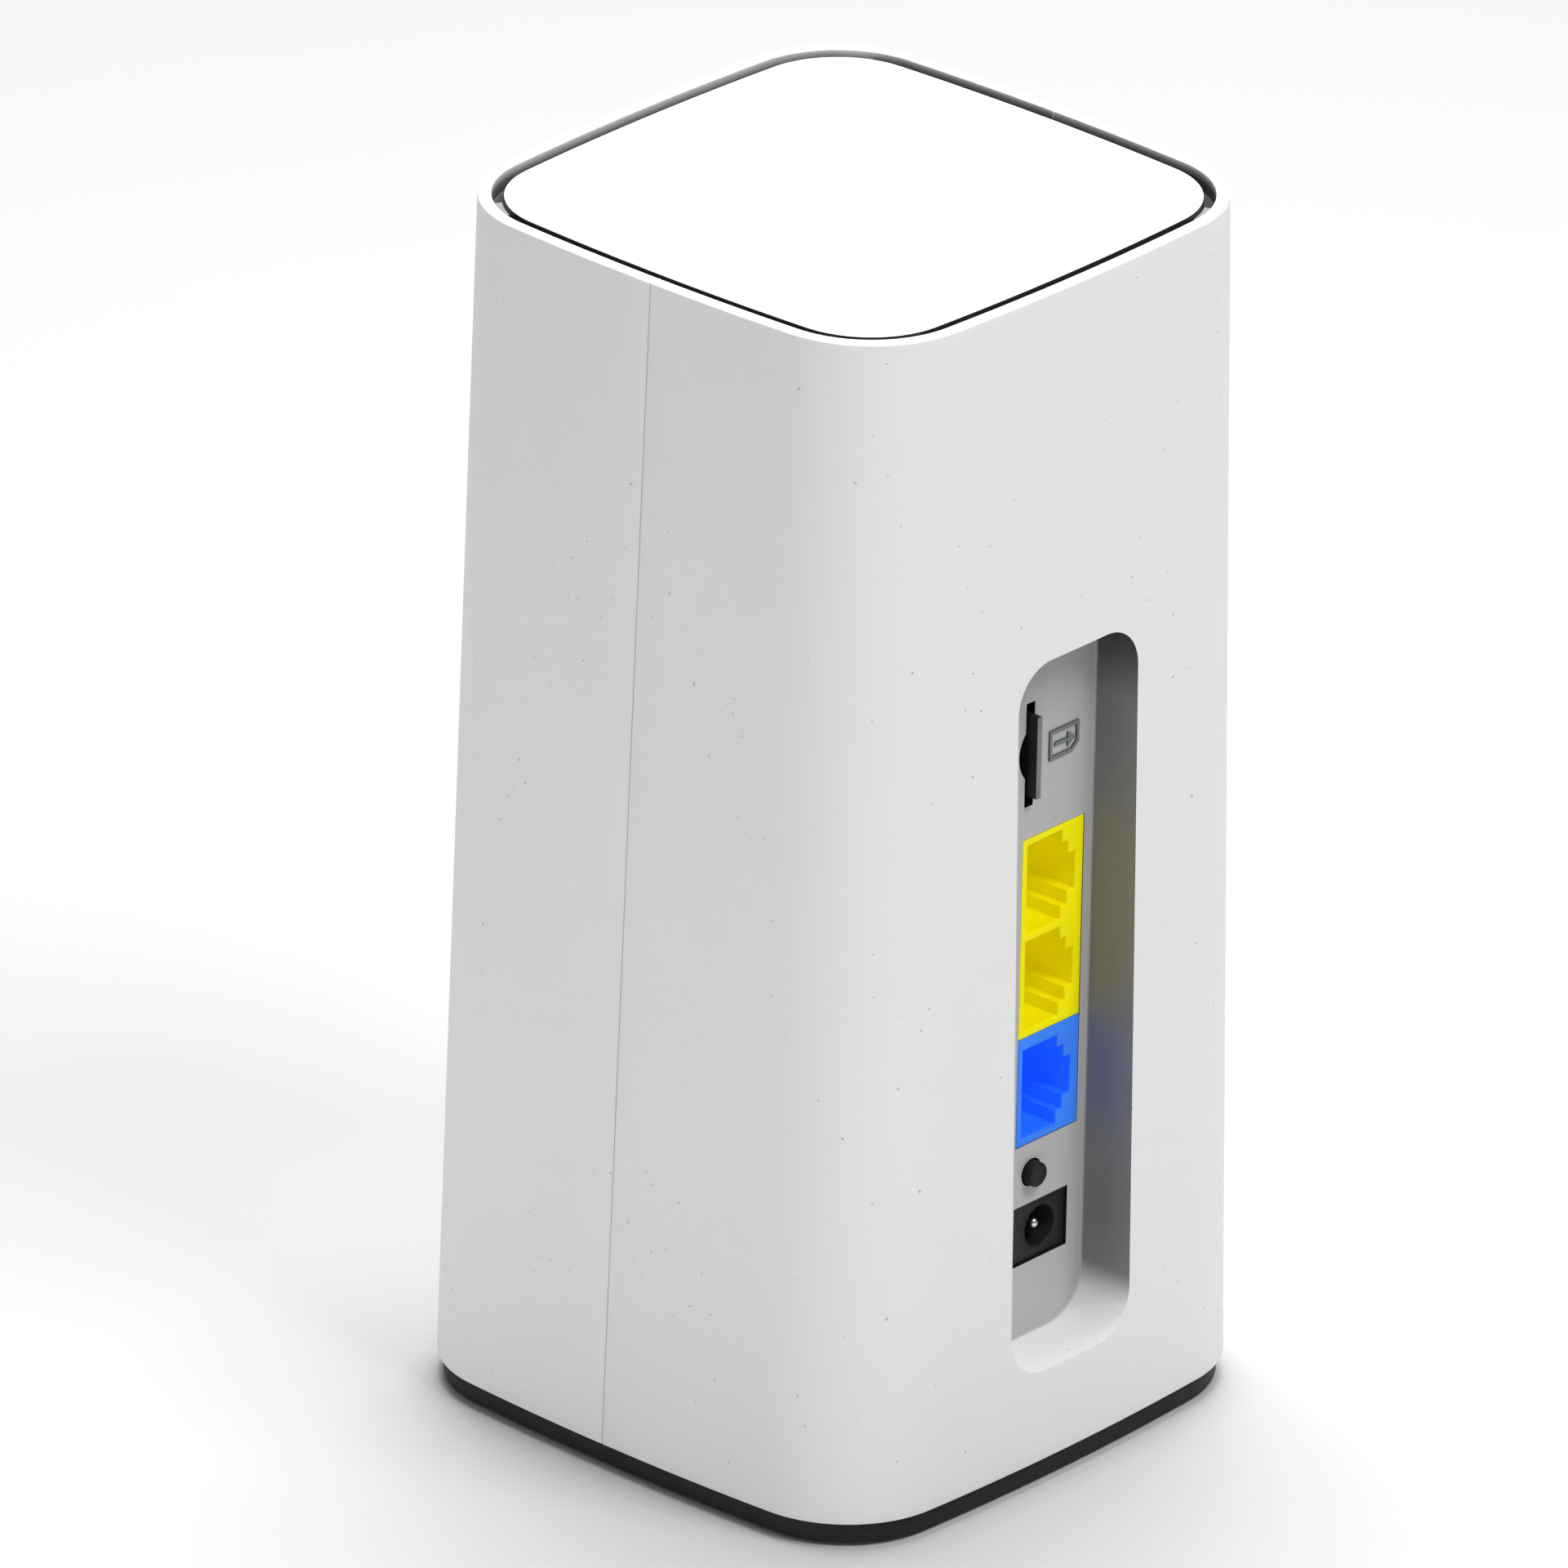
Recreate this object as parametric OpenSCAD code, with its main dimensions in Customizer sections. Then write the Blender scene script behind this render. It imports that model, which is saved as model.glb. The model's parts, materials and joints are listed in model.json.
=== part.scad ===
// Upright home wireless router: two moulded shell halves on a base plate, a set-in top
// cover with a vent groove round it, and a tall recess in the rear shell for the ports.
// Origin: centre of the footprint, on the surface that the router stands on.
// +Z is up, the front looks along -Y, the port recess is on the +Y side.

/* [Shell] */
// Width of the shells at their bottom edge
body_w = 94.6; // [78:0.2:116]
// How far each side leans in between the bottom edge and the rim
lean = 2.9; // [0:0.1:4]
// Height of the shells
shell_h = 186; // [154:1:225]
// Radius of the bowed sides
side_r = 450; // [300:10:900]
// Radius of the upright corners
corner_r = 17.8; // [15:0.2:22]
// Wall thickness, which is also the width of the rim
wall = 2; // [1.6:0.1:2.6]
// Gap between the two shell halves
seam_gap = 0.1; // [0.06:0.02:0.3]
// How far the seam leans back between the shells' bottom edge and the rim
seam_lean = 3.3; // [0:0.1:4]
// Distance of the seam's middle in front of the centre plane
seam_mid = 0.85; // [0:0.05:2]

/* [Base] */
// Height of the shells' bottom edge above the table
base_h = 4; // [3.5:0.1:7]
// Gap between the base plate's edge and the inside of the walls
base_gap = 0.25; // [0.15:0.05:0.5]
// Distance of the base plate's skirt inside the shells' bottom edge
skirt_inset = 1; // [0.6:0.1:1.6]
// Thickness of the base plate's floor
base_floor_t = 2.5; // [2:0.1:3]
// Radius of a rubber foot
foot_r = 7; // [5:0.5:8]

/* [Top] */
// Width of the vent groove between the rim and the cover
groove_w = 1.8; // [1.2:0.1:2.6]
// How far the cover's top lies below the rim
cover_drop = 0.4; // [0.2:0.1:1]
// Thickness of the top cover
cover_t = 2.2; // [1.8:0.1:3]
// Thickness of the vent frame's plate
vent_t = 4; // [3.6:0.2:5]
// Width of a rib that bridges the groove
rib_w = 4.6; // [3:0.2:6]

/* [Port recess] */
// Width of the recess
recess_w = 26; // [25:0.5:30]
// Height of the recess's bottom edge above the table
recess_z = 18.6; // [17:0.5:22]
// Gap between the card's slot and the recess's top edge
recess_top_gap = 11.1; // [9:0.1:16]
// Corner radius of the recess
recess_r = 7; // [5:0.5:9]
// Depth of the recess at its middle
recess_depth = 9.1; // [8:0.1:12]
// Wall thickness of the recess
recess_t = 2; // [1.6:0.1:2.4]

/* [Main board] */
// Thickness of the main board
board_t = 1.6; // [1:0.1:2]
// Position of the board's jack side to the right of the centre plane
board_x = 2; // [1:0.1:3]
// Height of the board's bottom edge above the table
board_z = 20; // [19:0.5:24]

/* [Jacks] */
// Height of a port opening
port_h = 14.4; // [12:0.1:14.8]
// Depth of a port opening behind the recess floor
port_depth = 14; // [12:0.5:15]
// Wall between and around the port openings
port_wall = 1.1; // [0.8:0.05:1.1]
// How far the jacks stand off the board
jack_reach = 13.3; // [12.6:0.1:13.6]
// Height of the lower jack's bottom face above the power button's axis
jack_rise = 5; // [4.6:0.1:6]
// Length of a network jack
jack_len = 21; // [18:0.5:24]
// Clearance round each jack in its cut-out
jack_gap = 0.1; // [0.1:0.05:0.3]

/* [Power] */
// Radius of the DC jack's socket
dc_bore_r = 3.2; // [2.8:0.1:3.6]
// Radius of the DC jack's centre pin
dc_pin_r = 0.85; // [0.7:0.05:1.25]
// Height of the DC jack's axis above the table
dc_z = 35.1; // [34:0.1:40]
// Radius of the power button's cap
button_r = 1.9; // [1.5:0.1:2.2]
// Radial gap round the power button's cap
button_gap = 0.3; // [0.2:0.05:0.4]
// How far the button's cap stands out of the recess floor
button_out = 1.5; // [1.2:0.1:2.5]
// How far the button travels
button_travel = 1.2; // [0.6:0.1:1.3]
// Height of the power button's axis above the DC jack's axis
button_rise = 9.7; // [8.9:0.1:10.5]

/* [SIM card] */
// Width of the card
card_w = 13; // [11:0.1:14]
// Thickness of the card
card_t = 1; // [0.7:0.05:1.1]
// Length of the card
card_len = 15; // [13:0.5:16]
// How far the card stands out of the recess floor
card_out = 1.9; // [1:0.1:3]
// Gap between the network jack and the card's slot
slot_gap = 5.3; // [4.5:0.1:8]

/* [Hidden] */

eps = 0.01;
big = 400;
round_fn = 48;
side_segs = 8;
corner_segs = 12;

// ---- levels above the table
shell_z1 = base_h + shell_h;
foot_proud = 0.5;
foot_t = 1.4;
tab_t = 2;
tab_z = base_h + 2;
frame_z = tab_z + tab_t;
plate_t = 2.5;
base_inset = wall + base_gap;
cover_z1 = shell_z1 - cover_drop;
cover_z0 = cover_z1 - cover_t;
vent_z = cover_z0 - vent_t;
ring_h = 3.4;
hook_t = 1.2;
hook_z = vent_z - ring_h - hook_t - 0.2;
plate_z = vent_z - 10.4;
board_z1 = plate_z - 1;

// ---- plan of the body: bowed sides joined by tangent corner arcs
function half_at(z) = body_w / 2 - lean * (z - base_h) / shell_h;
function corner_at(a) = ((a - side_r) + sqrt(2 * pow(side_r - corner_r, 2) - pow(a - side_r, 2))) / 2;
function quarter(p, q) = q == 0 ? p : quarter([-p[1], p[0]], q - 1);
function arc(c, r, from, to, n) =
    [for (k = [0:n]) let (t = from + (to - from) * k / n) c + r * [cos(t), sin(t)]];
function plan(a, inset) =
    let (c = corner_at(a), mid = a - side_r, t = atan2(c, c - mid),
        side = arc([mid, 0], side_r - inset, -t, t, side_segs),
        turn = arc([c, c], corner_r - inset, t, 90 - t, corner_segs))
    [for (q = [0:3]) each concat([for (p = side) quarter(p, q)],
        [for (k = [1:corner_segs - 1]) quarter(turn[k], q)])];

top_half = half_at(shell_z1);
corner_c = corner_at(top_half);

// ---- chassis
col_w = 5;
col_c = top_half - 12.4;
col_out = col_c + col_w / 2;
plate_inset = wall + 3;
bar_h = 3;
low_bar_z = recess_z - recess_t - bar_h - 0.6;
high_bar_z = plate_z - 33;
lug_y = col_c - 5;
lug_w = 8;
lug_z = [board_z + 4, board_z1 - 6];
board_half = col_c - 0.6;
board_x1 = board_x + board_t;

// ---- heights up the recess: DC jack, button, network jacks, card
button_z = dc_z + button_rise;
jack_z = button_z + jack_rise;
lan_z = jack_z + port_h + 2 * port_wall + 0.9;
lan_h = 2 * port_h + 3 * port_wall;
wan_h = lan_z - jack_z - 0.1;
slot_h = card_w + 3.6;
card_z = lan_z + lan_h + slot_gap + slot_h / 2;
recess_h = card_z + slot_h / 2 + recess_top_gap - recess_z;
recess_mid = recess_z + recess_h / 2;
panel_y = half_at(recess_mid) - recess_depth;

// ---- jacks
wan_port_z = jack_z + port_wall + port_h / 2;
lan_port_z = [lan_z + port_wall + port_h / 2, lan_z + 2 * port_wall + 1.5 * port_h];
transformer_y = panel_y - jack_len - 9;
port_x = board_x - 1.1;
port_steps = [[7.6, port_h], [9, 0.72 * port_h], [10.6, 0.43 * port_h]];
wire_t = 0.35;
wire_pitch = 1.02;

// ---- power inlet and button
dc_w = 11.6;
dc_wall = 1.5;
dc_h = 2 * (dc_bore_r + dc_wall);
dc_len = 14;
dc_set_back = 0.4;
dc_x = board_x - 6.2;
dc_y = panel_y - dc_set_back;
dc_bore_len = 9.5;
pin_back = 0.5;
button_x = board_x - 3.6;
stem_r = 1.2;
stem_in = 2.6;
collar_t = 1;
collar_y = panel_y - recess_t - 0.2;
switch_y = collar_y - collar_t - button_travel - 0.7;

// ---- SIM card
slot_w = 1.86;
slot_x = board_x - 0.95;
notch_r = 5.5;
notch_out = 1.35;
card_y1 = panel_y + card_out;
card_gap = 0.3;
socket_skin = 0.4;
socket_y0 = card_y1 - card_len - 3;

// ---- heat sinks, chips and cans on the board: [y, z, width, height]
can_h = 2;
can_skin = 0.3;
chip_t = 1.4;
pad_t = 0.8;
sink_base = 3;
fin_t = 1.2;
fin_pitch = 4.8;
sink_half = board_half - 1.4;
sink_z = [board_z + 16, board_z1 - 18];
sink_x = board_x1 + can_h + pad_t;
fin_x = col_c - col_w / 2 - 1.5;
can_z = [board_z + 40, board_z + 42, board_z + 78];
can_y = [-board_half / 2, board_half / 2 - 2, 0];
cans = [[can_y[0], can_z[0], 20, 32], [can_y[1], can_z[1], 20, 36], [can_y[2], can_z[2], 34, 24]];
chips = [[can_y[0], can_z[0], 14, 16], [can_y[1], can_z[1], 16, 16], [can_y[2], can_z[2], 15, 15]];
side_sink_z = [board_z + 36, board_z + 68];
side_sink_y = [4 - sink_half, transformer_y - 10.5];
radio_chip = [(side_sink_y[0] + side_sink_y[1]) / 2, (side_sink_z[0] + side_sink_z[1]) / 2, 14, 14];
radio_pad_t = 0.5;
boss_y = board_half - 3.2;
boss_r = 2;
sink_bolts = [[-boss_y, sink_z[0] + 4], [-boss_y, sink_z[1] - 7],
    [boss_y, lan_z + lan_h + 2.5], [socket_y0 - 2.5, sink_z[1] - 7]];

// ---- fasteners
bolt_c = col_c - 1.5;
bolt_r = 1.2;
bolt_bore = 1.25;
bolt_hole = 1.6;
head_r = 2.4;
head_h = 1.4;
base_head_z = foot_t + head_h + 0.4;
base_bolt_len = 16;
top_bolt_len = 12;
small_r = 0.9;
small_bore = 0.95;
small_hole = 1.1;
small_head_r = 1.8;
small_head_h = 1.2;
pegs_c = col_c - 14;
peg_r = 2;
peg_h = 3;

// ---- aerials
aerial_w = 18;
aerial_h = 60;
aerial_t = 1;
aerial_y = 14;
aerial_z = plate_z - 64;
aerial_x = col_out + aerial_t;
rear_aerial = [22, 7];
rear_aerial_z = plate_z + plate_t;
element_t = 0.1;
lead_r = 0.6;
lead_rings = 9;
lead_z = vent_z - 27;
plug_r = 1.2;
plug_h = 1;

// ---- status lights
led_z = [32, 38, 44, 50];
led_pin_r = 1;
led_gap = 0.1;
led_gap_y = 7;
led_board_t = 1;
led_board_y = half_at(led_z[0]) - wall - led_gap_y;
guide_bar_y = half_at(led_z[0]) - wall - 2.6;

// ---- shapes that repeat
module prism(z0, z1, points) {
    translate([0, 0, z0]) linear_extrude(z1 - z0) polygon(points);
}

module tapered_body(inset, z0, z1) {
    low = plan(half_at(z0), inset);
    high = plan(half_at(z1), inset);
    n = len(low);
    floor_face = [for (k = [0:n - 1]) k];
    roof_face = [for (k = [n - 1:-1:0]) n + k];
    walls = [for (k = [0:n - 1])
        let (next = (k + 1) % n) each [[k, n + k, n + next], [k, n + next, next]]];
    polyhedron(concat([for (p = low) [p[0], p[1], z0]], [for (p = high) [p[0], p[1], z1]]),
        concat([floor_face, roof_face], walls));
}

module box(low, high) {
    translate(low) cube(high - low);
}

// a block along Y with a rounded outline in X and Z
module rounded_block(w, h, r, zc, y0, y1) {
    signs = [[1, 1], [-1, 1], [-1, -1], [1, -1]];
    outline = [for (q = [0:3]) each arc([signs[q][0] * (w / 2 - r), signs[q][1] * (h / 2 - r)],
        r, 90 * q, 90 * q + 90, side_segs)];
    translate([0, y1, zc]) rotate([90, 0, 0]) linear_extrude(y1 - y0) polygon(outline);
}

module rod_x(x0, x1, y, z, r) {
    translate([x0, y, z]) rotate([0, 90, 0]) cylinder(h = x1 - x0, r = r, $fn = round_fn);
}

module rod_y(x, y0, y1, z, r) {
    translate([x, y0, z]) rotate([-90, 0, 0]) cylinder(h = y1 - y0, r = r, $fn = round_fn);
}

module rod_z(z0, z1, r) {
    translate([0, 0, z0]) cylinder(h = z1 - z0, r = r, $fn = round_fn);
}

module at_corners(c) {
    for (sx = [-1, 1], sy = [-1, 1]) translate([sx * c, sy * c, 0]) children();
}

// [y, z, width, height] on the board, from x0 to x1
module board_block(place, x0, x1) {
    box([x0, place[0] - place[2] / 2, place[1] - place[3] / 2],
        [x1, place[0] + place[2] / 2, place[1] + place[3] / 2]);
}

// ---- shells
// a drilled tab in each corner, from tab_reach inside the screw out to the wall
module shell_tabs() {
    tab_reach = 7;
    tab_in = bolt_c - tab_reach;
    difference() {
        intersection() {
            tapered_body(wall / 2, tab_z, tab_z + tab_t);
            union() {
                for (sx = [-1, 1], sy = [-1, 1])
                    box([min(sx * tab_in, sx * body_w), min(sy * tab_in, sy * body_w), tab_z],
                        [max(sx * tab_in, sx * body_w), max(sy * tab_in, sy * body_w), tab_z + tab_t]);
            }
        }
        at_corners(bolt_c) rod_z(tab_z - 1, tab_z + tab_t + 1, bolt_hole);
    }
}

module shell_tube() {
    difference() {
        tapered_body(0, base_h, shell_z1);
        tapered_body(wall, base_h - 1, shell_z1 + 1);
    }
    shell_tabs();
}

// hooks under the vent frame's ring
module snap_hooks(sy) {
    hook_w = 10;
    hook_x = 15;
    wall_y = half_at(hook_z) - wall;
    for (sx = [-1, 1]) translate([sx * hook_x - hook_w / 2, sy * (wall_y - 0.1) - 1.1, hook_z])
        cube([hook_w, 2.2, hook_t]);
}

// slab between two distances behind the leaning seam
module seam_slab(y0, y1) {
    translate([0, -seam_mid, base_h + shell_h / 2]) rotate([-atan(seam_lean / shell_h), 0, 0])
        box([-big, y0, -big], [big, y1, big]);
}

// strip on the front shell that laps behind the seam
module seam_strip() {
    strip_t = 1;
    strip_gap = 0.1;
    strip_z = [tab_z + tab_t + 1, vent_z - ring_h - 4];
    root = [wall / 2, -4, -seam_gap / 2];
    tongue = [wall + strip_gap, -2, 2.5];
    for (s = [root, tongue]) difference() {
        intersection() {
            tapered_body(s[0], strip_z[0], strip_z[1]);
            seam_slab(s[1], s[2]);
        }
        tapered_body(wall + strip_gap + strip_t, strip_z[0] - 1, strip_z[1] + 1);
    }
}

module front_shell() {
    color("white") {
        difference() {
            shell_tube();
            seam_slab(-seam_gap / 2, big);
            for (z = led_z) rod_y(0, -half_at(z) - 1, -half_at(z) + wall + 1, z, led_pin_r + led_gap);
        }
        seam_strip();
        snap_hooks(-1);
    }
}

module port_cutouts() {
    y0 = panel_y - recess_t - 1;
    y1 = panel_y + 1;
    g = jack_gap;
    box([board_x - jack_reach - g, y0, jack_z - g], [board_x + g, y1, lan_z + lan_h + g]);
    box([board_x - dc_w - g, y0, dc_z - dc_h / 2 - g], [board_x + g, y1, dc_z + dc_h / 2 + g]);
    rod_y(button_x, y0, y1, button_z, button_r + button_gap);
    box([slot_x - slot_w / 2, y0, card_z - slot_h / 2], [slot_x + slot_w / 2, y1, card_z + slot_h / 2]);
    intersection() {
        rod_y(slot_x + slot_w / 2 + notch_out - notch_r, y0, y1, card_z, notch_r);
        box([slot_x, y0, card_z - notch_r], [slot_x + big, y1, card_z + notch_r]);
    }
}

module rear_shell() {
    well_back = panel_y - recess_t;
    color("whitesmoke") difference() {
        union() {
            difference() {
                shell_tube();
                seam_slab(-big, seam_gap / 2);
            }
            intersection() {
                rounded_block(recess_w + 2 * recess_t, recess_h + 2 * recess_t, recess_r + recess_t,
                    recess_mid, well_back, body_w);
                tapered_body(wall / 2, base_h, shell_z1);
            }
            snap_hooks(1);
        }
        rounded_block(recess_w, recess_h, recess_r, recess_mid, panel_y, body_w);
        port_cutouts();
    }
}

// ---- top
module top_cover() {
    color("white") {
        prism(cover_z0, cover_z1, plan(top_half, wall + groove_w));
        at_corners(pegs_c) rod_z(cover_z0 - peg_h, cover_z0 + eps, peg_r);
    }
}

// the plate under the cover's edge, the ring that lines the shells and the ribs between them
module vent_frame() {
    edge = wall + groove_w + 0.6;
    ring_out = wall + 0.15;
    ring_in = wall + 1.3;
    ring_step = 0.5;
    rib_rise = 1.5;
    rib_angles = [68, 22, 33, 57];
    color("gainsboro") difference() {
        union() {
            prism(vent_z, cover_z0, plan(top_half, edge));
            difference() {
                prism(vent_z - ring_h, vent_z + ring_step, plan(top_half, ring_out));
                prism(vent_z - ring_h - 1, vent_z + ring_step + 1, plan(top_half, ring_in));
            }
            intersection() {
                prism(vent_z, cover_z0 + rib_rise, plan(top_half, ring_out));
                difference() {
                    for (q = [0:3])
                        rotate(90 * q) translate([corner_c, corner_c, 0]) rotate(rib_angles[q])
                            box([corner_r - edge - 3, -rib_w / 2, vent_z],
                                [corner_r, rib_w / 2, cover_z0 + rib_rise]);
                    prism(cover_z0, cover_z0 + rib_rise + 1, plan(top_half, wall + groove_w - 0.3));
                }
            }
        }
        at_corners(pegs_c) rod_z(cover_z0 - peg_h - 0.4, cover_z0 + 1, peg_r + 0.15);
        at_corners(bolt_c) rod_z(vent_z - 1, cover_z0 + 1, bolt_hole);
        at_corners(bolt_c) rod_z(cover_z0 - head_h - 0.2, cover_z0 + 1, head_r + 0.3);
    }
}

// ---- base
module base_plate() {
    rim_t = 1.6;
    skirt_gap = 0.2;
    base_boss_r = 5;
    slot_half = bolt_c - foot_r - 1.5;
    slot_pitch = 5;
    slots = floor((slot_half - 2) / slot_pitch);
    half = half_at(base_h);
    color([0.1, 0.1, 0.11]) difference() {
        union() {
            prism(foot_proud, foot_proud + base_floor_t, plan(half, base_inset));
            difference() {
                union() {
                    prism(foot_proud, tab_z, plan(half, base_inset));
                    prism(foot_proud, base_h - skirt_gap, plan(half, skirt_inset));
                }
                prism(foot_proud - 1, tab_z + 1, plan(half, base_inset + rim_t));
            }
            at_corners(bolt_c) rod_z(foot_proud, tab_z, base_boss_r);
        }
        at_corners(bolt_c) {
            rod_z(0, foot_t, foot_r + 0.1);
            rod_z(0, base_head_z, head_r + 0.2);
            rod_z(0, tab_z + 1, bolt_hole);
        }
        for (k = [-slots:slots])
            box([slot_pitch * k - 1.2, -slot_half, 0], [slot_pitch * k + 1.2, slot_half, tab_z]);
    }
}

module rubber_feet() {
    color([0.16, 0.16, 0.17]) at_corners(bolt_c) {
        rotate_extrude($fn = round_fn)
            polygon([[0, 0], [foot_r - 0.5, 0], [foot_r, 0.5], [foot_r, foot_t], [0, foot_t]]);
    }
}

// ---- chassis
module bar(q, z) {
    rotate(90 * q) box([col_c, -col_out, z], [col_out, col_out, z + bar_h]);
}

module chassis_frame() {
    window = [5, col_c - 13];
    window_x = [-(col_c - 6), board_x - 4, board_x1 + 8, col_c - 6];
    color([0.13, 0.13, 0.14]) difference() {
        union() {
            for (z = [frame_z, plate_z]) prism(z, z + plate_t, plan(top_half, plate_inset));
            at_corners(col_c) box([-col_w / 2, -col_w / 2, frame_z], [col_w / 2, col_w / 2, vent_z]);
            for (q = [0:3]) bar(q, low_bar_z);
            for (q = [0, 2, 3]) bar(q, high_bar_z);
            for (s = [-1, 1], z = [[frame_z, lug_z[0] + 4], [lug_z[1] - 4, plate_z + plate_t]])
                box([board_x1, s * lug_y - lug_w / 2, z[0]], [board_x1 + 6, s * lug_y + lug_w / 2, z[1]]);
        }
        at_corners(bolt_c) rod_z(frame_z - 1, frame_z + 12, bolt_bore);
        at_corners(bolt_c) rod_z(vent_z - 12, vent_z + 1, bolt_bore);
        for (s = [-1, 1], z = lug_z) rod_x(board_x1 - 1, board_x1 + 5, s * lug_y, z, small_bore);
        for (z = [frame_z, plate_z], k = [0, 2], s = [0, 1]) mirror([0, s, 0])
            box([window_x[k], window[0], z - 1], [window_x[k + 1], window[1], z + plate_t + 1]);
    }
}

// ---- board and what stands on it
module main_board() {
    color([0.04, 0.3, 0.14]) difference() {
        box([board_x, -board_half, board_z], [board_x1, board_half, board_z1]);
        for (s = [-1, 1], z = lug_z) rod_x(board_x - 1, board_x1 + 1, s * lug_y, z, small_hole);
        for (p = sink_bolts) rod_x(board_x - 1, board_x1 + 1, p[0], p[1], small_hole);
    }
}

module main_heat_sink() {
    fins = floor(sink_half / fin_pitch);
    base_x = sink_x + sink_base;
    color([0.7, 0.71, 0.73]) difference() {
        union() {
            box([sink_x, -sink_half, sink_z[0]], [base_x, sink_half, sink_z[1]]);
            for (k = [-fins:fins]) box([base_x - eps, k * fin_pitch - fin_t / 2, sink_z[0]],
                [fin_x, k * fin_pitch + fin_t / 2, sink_z[1]]);
            for (p = sink_bolts) rod_x(board_x1, sink_x + eps, p[0], p[1], boss_r);
        }
        for (p = sink_bolts) rod_x(board_x1 - 1, base_x - 0.6, p[0], p[1], small_bore);
    }
}

module side_heat_sink() {
    x1 = board_x - chip_t - radio_pad_t;
    x0 = x1 - sink_base;
    fin_len = 13;
    boss_mid = (side_sink_y[0] + side_sink_y[1]) / 2;
    fins = floor((side_sink_y[1] - side_sink_y[0] - fin_t) / fin_pitch);
    color([0.7, 0.71, 0.73]) {
        box([x0, side_sink_y[0], side_sink_z[0]], [x1, side_sink_y[1], side_sink_z[1]]);
        for (k = [0:fins]) {
            y = side_sink_y[0] + k * fin_pitch;
            box([x0 - fin_len, y, side_sink_z[0]], [x0 + eps, y + fin_t, side_sink_z[1]]);
        }
        for (z = [side_sink_z[0] + 3, side_sink_z[1] - 3]) rod_x(x1 - eps, board_x, boss_mid, z, boss_r);
    }
}

module shield_cans() {
    color([0.75, 0.75, 0.74]) for (c = cans) difference() {
        board_block(c, board_x1, board_x1 + can_h);
        board_block([c[0], c[1], c[2] - 2 * can_skin, c[3] - 2 * can_skin],
            board_x1 - 1, board_x1 + can_h - can_skin);
    }
}

module processor_chips() {
    color([0.08, 0.08, 0.09]) {
        for (c = chips) board_block(c, board_x1, board_x1 + chip_t);
        board_block(radio_chip, board_x - chip_t, board_x);
    }
}

module thermal_pads() {
    color([0.55, 0.6, 0.66]) {
        for (c = chips) board_block([c[0], c[1], c[2] - 1, c[3] - 1], board_x1 + can_h, sink_x);
        board_block([radio_chip[0], radio_chip[1], radio_chip[2] - 1, radio_chip[3] - 1],
            board_x - chip_t - radio_pad_t, board_x - chip_t);
    }
}

// ---- network jacks
module port_opening(zc) {
    for (s = port_steps)
        box([port_x - s[0], panel_y - port_depth, zc - s[1] / 2], [port_x, panel_y + 1, zc + s[1] / 2]);
}

module jack_body(z0, h, port_zs) {
    difference() {
        box([board_x - jack_reach, panel_y - jack_len, z0], [board_x, panel_y, z0 + h]);
        for (z = port_zs) port_opening(z);
    }
}

// eight slanted spring wires on the board side of a port
module port_wires(zc) {
    back = panel_y - port_depth + 1.5;
    front = panel_y - 3.5;
    wire = [[port_x, front], [port_x - wire_t, front], [port_x - 2.2, back], [port_x - 1.8, back]];
    for (k = [0:7]) translate([0, 0, zc + (k - 3.5) * wire_pitch - wire_t / 2])
        linear_extrude(wire_t) polygon(wire);
}

module lan_jack() { color([0.95, 0.88, 0]) jack_body(lan_z, lan_h, lan_port_z); }
module lan_contacts() { color("gold") for (z = lan_port_z) port_wires(z); }
module wan_jack() { color([0.2, 0.45, 1]) jack_body(jack_z, wan_h, [wan_port_z]); }
module wan_contacts() { color("gold") port_wires(wan_port_z); }

// ---- power inlet
module dc_jack() {
    color([0.13, 0.13, 0.13]) difference() {
        box([board_x - dc_w, dc_y - dc_len, dc_z - dc_h / 2], [board_x, dc_y, dc_z + dc_h / 2]);
        rod_y(dc_x, dc_y - dc_bore_len, dc_y + 1, dc_z, dc_bore_r);
        box([dc_x - 1.2, dc_y - dc_bore_len, dc_z - dc_bore_r - 0.8],
            [dc_x + 1.2, dc_y - 3, dc_z - dc_bore_r + 0.3]);
    }
}

module dc_pin() {
    half_section = concat([[0, 0], [dc_pin_r, 0]],
        arc([0, dc_bore_len - pin_back - dc_pin_r], dc_pin_r, 0, 90, 8));
    color("silver") translate([dc_x, dc_y - dc_bore_len, dc_z]) rotate([-90, 0, 0])
        rotate_extrude($fn = round_fn) polygon(half_section);
}

module dc_leaf() {
    color("gold") box([dc_x - 1, dc_y - dc_bore_len + 0.2, dc_z - dc_bore_r - 0.7],
        [dc_x + 1, dc_y - 3.2, dc_z - dc_bore_r - 0.4]);
}

// ---- power button and its switch
module power_button() {
    color([0.15, 0.15, 0.15]) {
        rod_y(button_x, collar_y - eps, panel_y + button_out, button_z, button_r);
        rod_y(button_x, collar_y - collar_t, collar_y, button_z, button_r + 0.9);
        rod_y(button_x, switch_y - stem_in, collar_y - collar_t + eps, button_z, stem_r);
    }
}

module switch_body() {
    bore = stem_in + button_travel + 0.6;
    color([0.2, 0.2, 0.21]) difference() {
        box([button_x - 3.5, switch_y - bore - 3, button_z - 2.4],
            [board_x, switch_y, button_z + 2.4]);
        rod_y(button_x, switch_y - bore, switch_y + 1, button_z, stem_r + 0.35);
    }
}

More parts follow.
